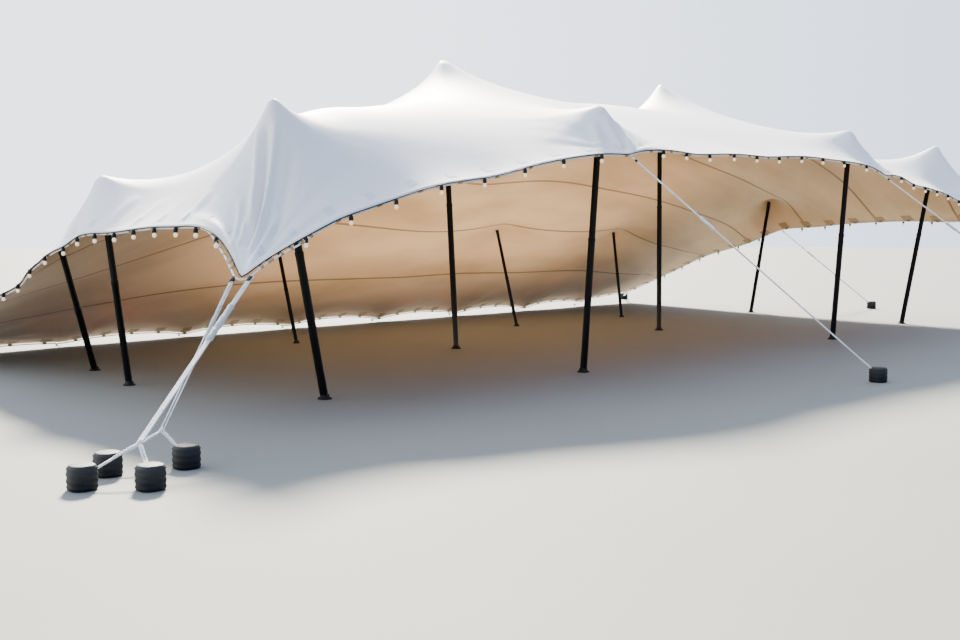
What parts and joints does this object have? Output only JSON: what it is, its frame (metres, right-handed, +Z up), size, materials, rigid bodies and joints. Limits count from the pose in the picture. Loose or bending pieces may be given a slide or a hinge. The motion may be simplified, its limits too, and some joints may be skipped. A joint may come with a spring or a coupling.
{
  "type": "stretch tent",
  "caption": "Free-form stretch tent: a tensioned cloth canopy of sewn panels over raking poles, open at the front and sides, guyed to ground anchors.",
  "frame": {"origin": "middle of the whole tent's footprint, guy anchors included, on the ground", "axes": "+X along the tent's long direction, to the right of a person who looks in at the open front; +Y from the open front to the low back; +Z up"},
  "size_m": [18.43, 11.02, 3.8069],
  "materials": {
    "cloth": "white coated stretch cloth, matte",
    "pole": "black powder coat, satin",
    "rope": "white braided rope",
    "cable": "black rubber cable and lampholders",
    "anchor_cover": "black moulded rubber, matte",
    "peg": "zinc-plated steel"
  },
  "bodies": {
    "root": {"back_peg_1": "peg", "back_peg_2": "peg", "back_peg_3": "peg", "back_peg_4": "peg", "back_peg_5": "peg", "back_peg_6": "peg", "back_peg_7": "peg", "canopy_panel_1": "cloth", "canopy_panel_2": "cloth", "canopy_panel_3": "cloth", "canopy_panel_4": "cloth", "canopy_panel_5": "cloth", "canopy_panel_6": "cloth", "canopy_panel_7": "cloth", "edge_rope": "rope", "festoon_lights": "cable", "guy_back_left": "rope", "guy_back_right": "rope", "guy_front_centre": "rope", "guy_front_left_inner": "rope", "guy_front_left_outer": "rope", "guy_front_right_centre": "rope", "guy_front_right_inner": "rope", "guy_front_right_outer": "rope", "guy_side_right": "rope", "pole_front_centre_left": "pole", "pole_front_centre_right": "pole", "pole_front_left": "pole", "pole_front_right": "pole", "pole_king_left": "pole", "pole_king_right": "pole", "pole_rear_centre": "pole", "pole_rear_left": "pole", "pole_rear_right": "pole", "pole_side_left": "pole", "pole_side_left_rear": "pole", "pole_side_right": "pole", "stake_back_left": "anchor_cover", "stake_back_right": "anchor_cover", "stake_front_centre": "anchor_cover", "stake_front_left_inner_1": "anchor_cover", "stake_front_left_inner_2": "anchor_cover", "stake_front_left_outer_1": "anchor_cover", "stake_front_left_outer_2": "anchor_cover", "stake_front_right_centre": "anchor_cover", "stake_front_right_inner_1": "anchor_cover", "stake_front_right_inner_2": "anchor_cover", "stake_front_right_outer_1": "anchor_cover", "stake_front_right_outer_2": "anchor_cover", "stake_side_right": "anchor_cover"}
  },
  "joints": []
}
